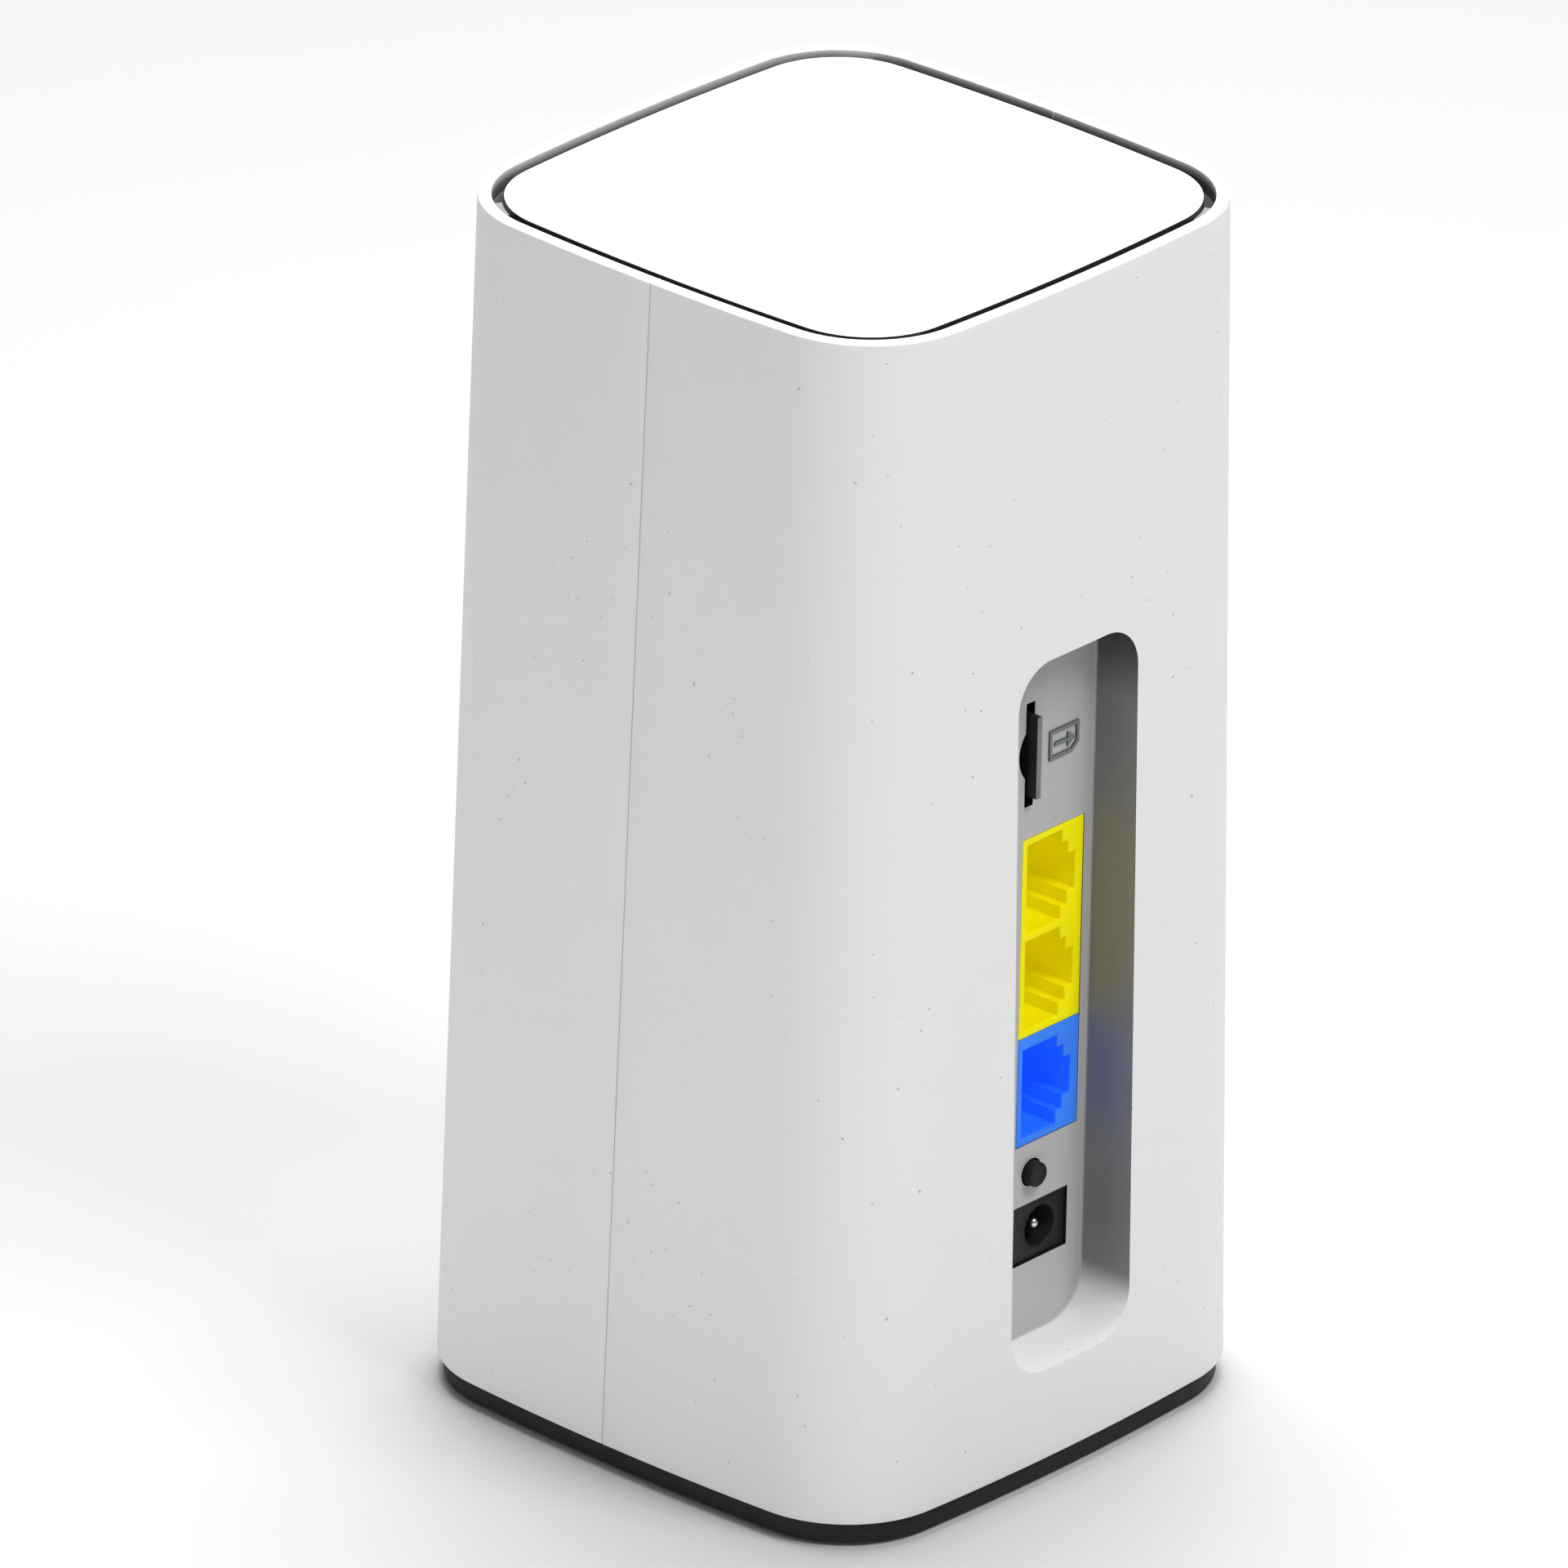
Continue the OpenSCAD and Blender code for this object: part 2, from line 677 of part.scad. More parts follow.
// ---- SIM socket and card
module sim_socket() {
    x0 = slot_x - card_t / 2 - card_gap - socket_skin;
    half_h = card_w / 2 + card_gap;
    color([0.7, 0.7, 0.7]) difference() {
        box([x0, socket_y0, card_z - half_h - 1.2],
            [board_x, panel_y - recess_t - 0.2, card_z + half_h + 1.2]);
        box([x0 + socket_skin, card_y1 - card_len - 1.8, card_z - half_h],
            [slot_x + card_t / 2 + card_gap, panel_y, card_z + half_h]);
        box([slot_x + card_t / 2, card_y1 - card_len + 2.2, card_z - 3.6],
            [slot_x + card_t / 2 + card_gap + 0.15, card_y1 - card_len + 9.4, card_z + 3.6]);
    }
}

module sim_contacts() {
    x0 = slot_x + card_t / 2 + card_gap;
    color("gold") for (k = [-2.5, 0, 2.5], s = [0, 1]) {
        y = card_y1 - card_len + 2.8 + 3.6 * s;
        box([x0, y, card_z + k - 0.5], [x0 + 0.12, y + 2.4, card_z + k + 0.5]);
    }
}

module sim_card() {
    x0 = slot_x - card_t / 2;
    y0 = card_y1 - card_len;
    cut = 2.4;
    z = [card_z - card_w / 2, card_z + card_w / 2];
    color([0.3, 0.33, 0.35]) translate([x0, 0, 0]) rotate([90, 0, 90]) linear_extrude(card_t)
        polygon([[y0, z[0] + cut], [y0 + cut, z[0]], [card_y1, z[0]], [card_y1, z[1]], [y0, z[1]]]);
}

module sim_chip() {
    color("gold") box([slot_x + card_t / 2, card_y1 - card_len + 1.8, card_z - 4.4],
        [slot_x + card_t / 2 + 0.08, card_y1 - card_len + 10, card_z + 4.4]);
}

// ---- other board parts
module line_transformers() {
    color([0.09, 0.09, 0.1]) for (z = concat([wan_port_z], lan_port_z))
        board_block([transformer_y, z, 12, 11], board_x - 5.2, board_x);
}

module power_capacitors() {
    color([0.12, 0.14, 0.3])
        for (y = [0, 12]) rod_x(board_x - 11, board_x, y - board_half + 13.4, board_z + 12, 4);
}

module power_inductors() {
    color([0.25, 0.25, 0.26])
        for (y = [0, 12]) board_block([y - board_half + 11.4, board_z + 26, 8, 8], board_x - 4, board_x);
}

// ---- aerials
module side_pair(q) {
    rotate(90 * q) for (s = [-1, 1]) box([col_out, s * aerial_y - aerial_w / 2, aerial_z],
        [aerial_x, s * aerial_y + aerial_w / 2, aerial_z + aerial_h]);
}

module cellular_aerials() { color([0.05, 0.28, 0.2]) for (q = [0, 2]) side_pair(q); }

// a pair on the front bar, and a small one that stands on the top plate at the rear
module wifi_aerials() {
    color([0.05, 0.25, 0.3]) {
        side_pair(3);
        box([-rear_aerial[0] / 2, col_out, rear_aerial_z],
            [rear_aerial[0] / 2, aerial_x, rear_aerial_z + rear_aerial[1]]);
    }
}

module aerial_elements() {
    foil = aerial_x + element_t;
    strip_w = 4;
    strip = aerial_w / 2 - 2;
    color([0.75, 0.42, 0.2]) {
        for (q = [0, 2, 3], s = [-1, 1]) rotate(90 * q) {
            box([aerial_x, s * aerial_y - strip, aerial_z + 10],
                [foil, s * aerial_y + strip, aerial_z + 10 + strip_w]);
            box([aerial_x, s * aerial_y - strip, aerial_z + 10 + strip_w - eps],
                [foil, s * aerial_y - strip + strip_w, aerial_z + aerial_h - strip_w]);
        }
        box([2 - rear_aerial[0] / 2, aerial_x, rear_aerial_z + 1.5],
            [rear_aerial[0] / 2 - 2, foil, rear_aerial_z + rear_aerial[1] - 1.5]);
    }
}

// a lead is a cubic curve through space, swept as a thin six-sided tube
function mix4(p, t) = pow(1 - t, 3) * p[0] + 3 * t * pow(1 - t, 2) * p[1]
    + 3 * t * t * (1 - t) * p[2] + t * t * t * p[3];
function slope4(p, t) = 3 * pow(1 - t, 2) * (p[1] - p[0]) + 6 * t * (1 - t) * (p[2] - p[1])
    + 3 * t * t * (p[3] - p[2]);
function unit(v) = v / norm(v);

module lead(p) {
    sides = 6;
    ring = [for (k = [0:sides - 1]) lead_r * [cos(360 * k / sides), sin(360 * k / sides)]];
    points = [for (i = [0:lead_rings])
        let (t = i / lead_rings, d = unit(slope4(p, t)), u = unit(cross(d, [0, 0.3, 1])), w = cross(d, u))
        for (r = ring) mix4(p, t) + r[0] * u + r[1] * w];
    starts = [for (i = [0:lead_rings - 1]) i * sides];
    walls = [for (i = starts, k = [0:sides - 1])
        let (a = i + k, b = i + (k + 1) % sides) each [[a, a + sides, b + sides], [a, b + sides, b]]];
    first = [for (k = [0:sides - 1]) k];
    last = [for (k = [sides - 1:-1:0]) lead_rings * sides + k];
    polyhedron(points, concat([first, last], walls));
}

// start on an aerial's inner face, end on the board: [start, first handle, last handle, end]
aerial_in = col_out - plug_h;
lead_end_x = [board_x - plug_h, board_x1 + plug_h];
lead_paths = concat(
    [for (s = [-1, 1]) [[aerial_in, s * 8, lead_z + 2], [aerial_in - 8, s * 8, lead_z + 2],
        [lead_end_x[1] + 8, s * 16, lead_z + 4], [lead_end_x[1], s * 16, lead_z + 4]]],
    [for (s = [-1, 1]) [[-aerial_in, s * 8, lead_z + 2], [8 - aerial_in, s * 8, lead_z + 2],
        [lead_end_x[0] - 8, s * 16, lead_z + 4], [lead_end_x[0], s * 16, lead_z + 4]]],
    [[[14, -aerial_in, lead_z + 8], [14, 11 - aerial_in, lead_z + 8],
        [lead_end_x[1] + 7, -4, lead_z + 12], [lead_end_x[1], -4, lead_z + 12]],
     [[-8, -aerial_in, lead_z + 8], [-8, 7 - aerial_in, lead_z + 8],
        [lead_end_x[0] - 7, -4, lead_z + 12], [lead_end_x[0], -4, lead_z + 12]],
     [[-7, aerial_in, rear_aerial_z + 3.5], [-7, 2, rear_aerial_z + 3.5],
        [lead_end_x[0] - 8, 7, lead_z + 12], [lead_end_x[0], 7, lead_z + 12]]]);

module aerial_leads() { color([0.12, 0.12, 0.12]) for (p = lead_paths) lead(p); }

module plug_at(p, dir) {
    translate(p) rotate(dir[0] != 0 ? [0, 90 * dir[0], 0] : [-90 * dir[1], 0, 0])
        cylinder(h = plug_h, r = plug_r, $fn = round_fn);
}

module aerial_plugs() {
    color("gold") for (i = [0:len(lead_paths) - 1]) {
        start = lead_paths[i][0];
        end = lead_paths[i][3];
        plug_at(start, i < 2 ? [1, 0] : i < 4 ? [-1, 0] : i < 6 ? [0, -1] : [0, 1]);
        plug_at(end, end[0] > board_x ? [-1, 0] : [1, 0]);
    }
}

// ---- status lights
module led_board() {
    color([0.04, 0.3, 0.14])
        box([-4, -led_board_y, frame_z + plate_t], [4, led_board_t - led_board_y, led_z[3] + 8]);
}

module status_leds() {
    color([0.9, 0.95, 0.8]) for (z = led_z)
        box([-1, -led_board_y - 0.8, z - 0.8], [1, -led_board_y, z + 0.8]);
}

module light_guide() {
    color([0.85, 0.9, 0.95]) {
        box([-1.5, -guide_bar_y - 1.2, led_z[0] - 3], [1.5, -guide_bar_y + 1.2, led_z[3] + 3]);
        for (z = led_z) rod_y(0, -half_at(z) + 0.15, -guide_bar_y, z, led_pin_r);
    }
}

// a flat cable from the status light board, round the board's front edge and onto its side
module led_cable() {
    t = 0.4;
    turn_y = -board_half - 1;
    z = [led_z[0] - 4, led_z[0] + 2];
    color([0.9, 0.9, 0.85]) {
        box([-t / 2, led_board_t - led_board_y, z[0]], [t / 2, turn_y, z[1]]);
        box([-t / 2, turn_y - eps, z[0]], [board_x - t + eps, turn_y + t, z[1]]);
        box([board_x - t, turn_y, z[0]], [board_x, turn_y + 4, z[1]]);
    }
}

// ---- fasteners
module screw_z(len_, r, hr, hh) {
    translate([0, 0, -hh]) cylinder(h = hh, r = hr, $fn = round_fn);
    translate([0, 0, -eps]) cylinder(h = len_, r = r, $fn = round_fn);
}

module base_screws() {
    color("silver") at_corners(bolt_c) translate([0, 0, base_head_z])
        screw_z(base_bolt_len, bolt_r, head_r, head_h);
}

module top_screws() {
    color("silver") at_corners(bolt_c)
        translate([0, 0, cover_z0 - head_h - 0.2]) mirror([0, 0, 1])
            screw_z(top_bolt_len, bolt_r, head_r, head_h);
}

module screw_x(y, z, len_) {
    translate([board_x, y, z]) rotate([0, 90, 0]) screw_z(len_, small_r, small_head_r, small_head_h);
}

module board_screws() {
    color("silver") for (s = [-1, 1], z = lug_z) screw_x(s * lug_y, z, board_t + 4.4);
}

module sink_screws() {
    color("silver") for (p = sink_bolts) screw_x(p[0], p[1], board_t + can_h + pad_t + 1.8);
}

front_shell();
rear_shell();
top_cover();
vent_frame();
base_plate();
rubber_feet();
chassis_frame();
main_board();
main_heat_sink();
side_heat_sink();
shield_cans();
processor_chips();
thermal_pads();
lan_jack();
lan_contacts();
wan_jack();
wan_contacts();
dc_jack();
dc_pin();
dc_leaf();
power_button();
switch_body();
sim_socket();
sim_contacts();
sim_card();
sim_chip();
line_transformers();
power_capacitors();
power_inductors();
cellular_aerials();
wifi_aerials();
aerial_elements();
aerial_leads();
aerial_plugs();
led_board();
status_leds();
light_guide();
led_cable();
base_screws();
top_screws();
board_screws();
sink_screws();
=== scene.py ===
"""Looks of the upright wireless router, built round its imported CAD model. Metres, +Z up."""

import json
import math

import bmesh
import bpy
from mathutils import Matrix, Vector


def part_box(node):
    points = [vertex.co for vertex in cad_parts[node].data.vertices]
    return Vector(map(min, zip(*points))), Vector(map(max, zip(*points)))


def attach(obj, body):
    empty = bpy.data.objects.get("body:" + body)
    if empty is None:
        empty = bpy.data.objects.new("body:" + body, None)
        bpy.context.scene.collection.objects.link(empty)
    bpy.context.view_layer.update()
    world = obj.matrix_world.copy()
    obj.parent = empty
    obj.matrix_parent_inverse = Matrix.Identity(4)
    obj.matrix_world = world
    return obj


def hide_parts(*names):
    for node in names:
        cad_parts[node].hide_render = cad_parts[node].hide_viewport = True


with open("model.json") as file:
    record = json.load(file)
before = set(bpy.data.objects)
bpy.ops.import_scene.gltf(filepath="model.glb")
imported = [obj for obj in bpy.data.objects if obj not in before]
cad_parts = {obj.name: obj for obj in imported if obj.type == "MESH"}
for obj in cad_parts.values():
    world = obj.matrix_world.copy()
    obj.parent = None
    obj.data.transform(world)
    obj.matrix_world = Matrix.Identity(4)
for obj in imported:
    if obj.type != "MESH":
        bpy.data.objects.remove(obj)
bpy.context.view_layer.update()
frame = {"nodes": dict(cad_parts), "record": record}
MM = 0.001

# ---- sizes of the body, the same as the CAD model's
REAR_LOW, REAR_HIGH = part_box("rear_shell")
COVER_LOW, COVER_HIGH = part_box("top_cover")
RIB_HIGH_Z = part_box("vent_frame")[1][2]
LAN_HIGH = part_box("lan_jack")[1]
WAN_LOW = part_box("wan_jack")[0]
DC_LOW, DC_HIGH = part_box("dc_jack")
CARD_LOW, CARD_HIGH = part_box("sim_card")
BUTTON_LOW, BUTTON_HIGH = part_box("power_button")
BASE_Z = REAR_LOW[2]
TOP_Z = REAR_HIGH[2]
BODY_HALF = REAR_HIGH[0]
LEAN = 2.9 * MM
SIDE_R = 450 * MM
CORNER_R = 17.8 * MM
WALL = 2.0 * MM
GROOVE_W = 1.8 * MM
GROOVE_DEPTH = 8 * MM

# ---- the seam between the shells: how it leans, and how the shells' faces fall into it
SEAM_LEAN = 3.3 * MM
SEAM_MID = 0.85 * MM
SEAM_GAP = 0.1 * MM
SEAM_DEPTH = 0.14 * MM
SEAM_W = 0.18 * MM

# ---- roundings of the shells' and the cover's edges
SHELL_EDGE = 0.3 * MM
RIM_INNER_EDGE = 0.18 * MM
COVER_EDGE = 0.2 * MM
COVER_SKIRT = 3 * MM

# ---- the port recess and what it is cut for
RECESS_W = 26 * MM
RECESS_LOW_Z = 18.6 * MM
RECESS_HIGH_Z = 132.4 * MM
RECESS_R = 7 * MM
RECESS_T = 2 * MM
RECESS_FILLET = 0.4 * MM
PANEL_Y = LAN_HIGH[1]
CUT_GAP = 0.1 * MM
BUTTON_HOLE_R = 2.2 * MM
SLOT_W = 1.86 * MM
SLOT_SPARE = 1.8 * MM
NOTCH_R = 5.5 * MM
NOTCH_OUT = 1.35 * MM

# ---- the status lights
LIGHT_Z = [32 * MM, 38 * MM, 44 * MM, 50 * MM]
LIGHT_HOLE_R = 1.1 * MM

# ---- the card's symbol: its height, its line, and its outlines as (x, z) in millimetres
SYMBOL_H = 0.3 * MM
SYMBOL_LINE = 0.55 * MM
SYMBOL_CARD = [(-3.05, 110.6), (-3.05, 115.25), (-9.45, 115.25), (-9.45, 111.8), (-8.0, 110.6)]
SYMBOL_ARROW = [(-4.2, 113.15), (-4.2, 112.65), (-7.0, 112.65), (-7.0, 111.75), (-8.7, 112.9),
                (-7.0, 114.05), (-7.0, 113.15)]

# ---- CAD nodes that are shown with softer edges: edge width in millimetres, body
SOFTENED = {
    "base_plate": (0.3, "root"),
    "rubber_feet": (0.15, "root"),
    "lan_jack": (0.12, "root"),
    "wan_jack": (0.12, "root"),
    "dc_jack": (0.15, "root"),
    "dc_pin": (0.05, "root"),
    "power_button": (0.25, "power_button"),
    "sim_card": (0.1, "sim_card"),
    "vent_frame": (0.15, "root"),
}

# ---- studio. Softboxes: name, azimuth (0 is on the +Y side, 90 on the +X side), elevation, diameter, power
SOFTBOXES = [
    ("top softbox", -132, 76, 0.9, 23),
    ("rear softbox", -4, 54, 0.6, 9),
    ("side softbox", 86, 5, 0.5, 2.95),
]
SOFTBOX_DISTANCE = 1.3
WORLD_STRENGTH = 0.18

# ---- camera: angles in degrees, lens and sensor in millimetres, and how far it aims off the body's middle
AZIMUTH, ELEVATION, ROLL = 131.55, 25.10, 1.181
LENS, SENSOR = 485.43, 36
DISTANCE = 3.0868
TARGET = Vector((0, 0, 0.097))
AIM_LEFT, AIM_DOWN = 0.00848, 0.00111

# ---- mesh density: steps round a corner and along a side, and the share of a half side, next to the seam, that
# has no even steps. An edge that turns by more than SHARP degrees is drawn sharp.
CORNER_STEPS = 28
SIDE_STEPS = 22
EVEN_FROM = 0.16
SHARP = 35


def half_at(z):
    """Half of the body's width at height z."""
    return BODY_HALF - LEAN * (z - BASE_Z) / (TOP_Z - BASE_Z)


def seam_at(z):
    """Y of the seam, which leans back as it rises."""
    return SEAM_LEAN * ((z - BASE_Z) / (TOP_Z - BASE_Z) - 0.5) - SEAM_MID


def corner_at(a):
    """X and Y of a corner arc's centre, where half the body's width is a."""
    d = a - SIDE_R
    return (d + math.sqrt(2 * (SIDE_R - CORNER_R) ** 2 - d * d)) / 2


def plan_point(station, z, inset):
    """A point of the body's plan at height z. A station is (quarter, kind, value, extra inset)."""
    quarter, kind, value, extra = station
    inset = inset + extra
    a = half_at(z)
    c = corner_at(a)
    mid = a - SIDE_R
    reach = math.atan2(c, c - mid)
    if kind == "corner":
        t = reach + value * (math.pi / 2 - 2 * reach)
        x, y = c + (CORNER_R - inset) * math.cos(t), c + (CORNER_R - inset) * math.sin(t)
    elif kind == "side":
        t = value * reach
        x, y = mid + (SIDE_R - inset) * math.cos(t), (SIDE_R - inset) * math.sin(t)
    else:
        y = value + seam_at(z) * (-1 if quarter % 4 == 2 else 1)
        x = mid + math.sqrt((SIDE_R - inset) ** 2 - y ** 2)
    for _ in range(quarter):
        x, y = -y, x
    return x, y


def steps(low, high, n):
    """n + 1 even values from low to high."""
    return [low + (high - low) * k / n for k in range(n + 1)]


def side_stations(quarter, low, high, n):
    return [(quarter, "side", s, 0) for s in steps(low, high, n)]


def corner_stations(quarter):
    return [(quarter, "corner", f, 0) for f in steps(0, 1, CORNER_STEPS)[1:-1]]


def full_stations():
    out = []
    for q in range(4):
        out += side_stations(q, -1, 1, SIDE_STEPS) + corner_stations(q)
    return out


def half_stations(first):
    """From the seam on one side, round two corners, to the seam on the other side."""
    fall = [(SEAM_GAP / 2 + SEAM_W * f, SEAM_DEPTH * (1 - f) ** 1.3) for f in steps(0, 1, 4)]
    out = [(first, "flat", y, extra) for y, extra in fall]
    out += side_stations(first, EVEN_FROM, 1, SIDE_STEPS // 2) + corner_stations(first)
    out += side_stations(first + 1, -1, 1, 2 * SIDE_STEPS) + corner_stations(first + 1)
    out += side_stations(first + 2, -1, -EVEN_FROM, SIDE_STEPS // 2)
    out += [(first + 2, "flat", -y, extra) for y, extra in reversed(fall)]
    return out


def smooth_by_angle(obj, sharp=SHARP):
    """Smooth shading, except over edges that turn by more than sharp degrees."""
    for p in obj.data.polygons:
        p.use_smooth = True
    obj.data.set_sharp_from_angle(angle=math.radians(sharp))


def finish_mesh(bm, name, sharp=SHARP):
    """Turns a bmesh into an object of the scene."""
    bmesh.ops.remove_doubles(bm, verts=bm.verts, dist=1e-7)
    bmesh.ops.recalc_face_normals(bm, faces=bm.faces)
    mesh = bpy.data.meshes.new(name)
    bm.to_mesh(mesh)
    bm.free()
    obj = bpy.data.objects.new(name, mesh)
    smooth_by_angle(obj, sharp)
    bpy.context.collection.objects.link(obj)
    return obj


def grid_faces(bm, rows, closed_rows, closed_columns):
    """Quads between rows of vertices."""
    n, m = len(rows), len(rows[0])
    for i in range(n if closed_rows else n - 1):
        for j in range(m if closed_columns else m - 1):
            a, b = rows[i], rows[(i + 1) % n]
            bm.faces.new((a[j], b[j], b[(j + 1) % m], a[(j + 1) % m]))


def swept(name, stations, profile, closed):
    """Sweeps a profile of (inset, height) points round the plan. An open sweep has a closed profile and gets
    end faces, a closed sweep has an open profile and gets a floor and a roof."""
    bm = bmesh.new()
    rows = []
    for s in stations:
        rows.append([bm.verts.new((*plan_point(s, z, inset), z)) for inset, z in profile])
    grid_faces(bm, rows, closed, not closed)
    if closed:
        bm.faces.new([r[0] for r in rows])
        bm.faces.new([r[-1] for r in rows])
    else:
        bm.faces.new(rows[0])
        bm.faces.new(rows[-1])
    return finish_mesh(bm, name)


def arc(cx, cz, r, low, high, n):
    """Points of an arc in (inset, height), with angles from the outward direction."""
    out = []
    for t in steps(math.radians(low), math.radians(high), n):
        out.append((cx - r * math.cos(t), cz + r * math.sin(t)))
    return out


def extruded(name, outline, y0, y1):
    """A closed prism along Y from an outline of (x, z) points."""
    bm = bmesh.new()
    ends = [[bm.verts.new((x, y, z)) for x, z in outline] for y in (y0, y1)]
    grid_faces(bm, ends, False, True)
    for e in ends:
        bm.faces.new(e)
    return finish_mesh(bm, name)


def round_outline(x0, x1, z0, z1, r):
    """Outline of a rectangle with rounded corners."""
    out = []
    centres = ((x1 - r, z1 - r, 0), (x0 + r, z1 - r, 90), (x0 + r, z0 + r, 180), (x1 - r, z0 + r, 270))
    for cx, cz, start in centres:
        for t in steps(math.radians(start), math.radians(start + 90), 16):
            out.append((cx + r * math.cos(t), cz + r * math.sin(t)))
    return out


def circle_outline(x, z, r, n=48):
    return [(x + r * math.cos(math.tau * k / n), z + r * math.sin(math.tau * k / n)) for k in range(n)]


def apply_modifiers(obj):
    depsgraph = bpy.context.evaluated_depsgraph_get()
    mesh = bpy.data.meshes.new_from_object(obj.evaluated_get(depsgraph))
    obj.modifiers.clear()
    old = obj.data
    obj.data = mesh
    bpy.data.meshes.remove(old)


def boolean(target, tool, operation):
    """Joins the tool to the target, or cuts it out of it, and removes the tool."""
    mod = target.modifiers.new(operation, "BOOLEAN")
    mod.operation = operation
    mod.solver = "EXACT"
    mod.object = tool
    apply_modifiers(target)
    bpy.data.objects.remove(tool, do_unlink=True)


def softened(name, node, width):
    """The CAD solid of a node, rebuilt with its edges rounded by width."""
    source = frame["nodes"][node]
    bm = bmesh.new()
    bm.from_mesh(source.data)
    bmesh.ops.transform(bm, matrix=source.matrix_world, verts=bm.verts)
    bmesh.ops.remove_doubles(bm, verts=bm.verts, dist=2e-6)
    bmesh.ops.dissolve_limit(bm, angle_limit=math.radians(0.4), verts=bm.verts, edges=bm.edges)
    obj = finish_mesh(bm, name)
    mod = obj.modifiers.new("round", "BEVEL")
    mod.width = width
    mod.segments = 2
    mod.limit_method = "ANGLE"
    mod.angle_limit = math.radians(40)
    mod.use_clamp_overlap = True
    mod.miter_outer = "MITER_ARC"
    apply_modifiers(obj)
    smooth_by_angle(obj)
    return obj


# ---- materials
class Nodes:
    """A material's node tree, with a short way to add and join nodes."""

    def __init__(self, name):
        self.mat = bpy.data.materials.new(name)
        self.mat.use_nodes = True
        self.tree = self.mat.node_tree
        self.shader = self.tree.nodes["Principled BSDF"]
        self.place = self.add("ShaderNodeTexCoord").outputs["Object"]

    def add(self, kind, **values):
        node = self.tree.nodes.new(kind)
        for key, value in values.items():
            if key in node.inputs:
                node.inputs[key].default_value = value
            else:
                setattr(node, key, value)
        return node

    def join(self, a, b):
        self.tree.links.new(a, b)

    def noise(self, scale, detail, stretch=None):
        place = self.place
        if stretch:
            mapping = self.add("ShaderNodeMapping")
            mapping.inputs["Scale"].default_value = stretch
            self.join(place, mapping.inputs["Vector"])
            place = mapping.outputs["Vector"]
        node = self.add("ShaderNodeTexNoise", Scale=scale, Detail=detail)
        self.join(place, node.inputs["Vector"])
        return node.outputs["Fac"]

    def ramp(self, value, low, high, out_low=0.0, out_high=1.0, smooth=False):
        """Maps low...high to out_low...out_high, and holds the ends."""
        node = self.add("ShaderNodeMapRange")
        node.interpolation_type = "SMOOTHSTEP" if smooth else "LINEAR"
        for key, number in (("From Min", low), ("From Max", high), ("To Min", out_low), ("To Max", out_high)):
            node.inputs[key].default_value = number
        self.join(value, node.inputs["Value"])
        return node.outputs["Result"]

    def mix(self, factor, a, b):
        """Colour a where the factor is 0, b where it is 1."""
        node = self.add("ShaderNodeMix")
        node.data_type = "RGBA"
        self.join(factor, node.inputs["Factor"])
        for side, key in ((a, "A"), (b, "B")):
            socket = [s for s in node.inputs if s.name == key and s.type == "RGBA"][0]
            if isinstance(side, bpy.types.NodeSocket):
                self.join(side, socket)
            else:
                socket.default_value = (*side, 1)
        return [s for s in node.outputs if s.type == "RGBA"][0]

    def math(self, operation, a, b):
        node = self.add("ShaderNodeMath")
        node.operation = operation
        for k, side in enumerate((a, b)):
            if isinstance(side, bpy.types.NodeSocket):
                self.join(side, node.inputs[k])
            else:
                node.inputs[k].default_value = side
        return node.outputs["Value"]

    def along(self, axis):
        split = self.add("ShaderNodeSeparateXYZ")
        self.join(self.place, split.inputs["Vector"])
        return split.outputs[axis]

    def colour(self, value):
        self.join(value, self.shader.inputs["Base Color"])

    def roughness(self, value):
        self.join(value, self.shader.inputs["Roughness"])

    def bump(self, value, strength, distance=0.00004):
        node = self.add("ShaderNodeBump", Strength=strength, Distance=distance)
        self.join(value, node.inputs["Height"])
        self.join(node.outputs["Normal"], self.shader.inputs["Normal"])

    def set(self, **values):
        for key, value in values.items():
            self.shader.inputs[key.replace("_", " ")].default_value = value


def grey(level):
    return (level, level, level)


def tone(colour, factor):
    """The colour made darker or lighter by a factor."""
    return tuple(min(1.0, c * factor) for c in colour)


# Painted shade: near black put where the groove between the cover and the rim lies in shade.
PAINTED_SHADE_BLACK = grey(0.012)
# Painted shade: the near-black sides of the card and of its symbol.
CARD_SIDE_SHADE = (0.012, 0.012, 0.013)


def plastic(name, colour, rough, grain, gloss, patch):
    """Moulded plastic: fine spark-eroded grain, faint patches of tone and of gloss."""
    n = Nodes(name)
    n.colour(n.mix(n.noise(140, 4), tone(colour, 1 - patch), tone(colour, 1 + patch)))
    n.roughness(n.ramp(n.noise(420, 5), 0.3, 0.7, rough - 0.05, rough + 0.05))
    n.bump(n.noise(5200, 2), grain)
    n.set(Specular_IOR_Level=gloss)
    return n.mat


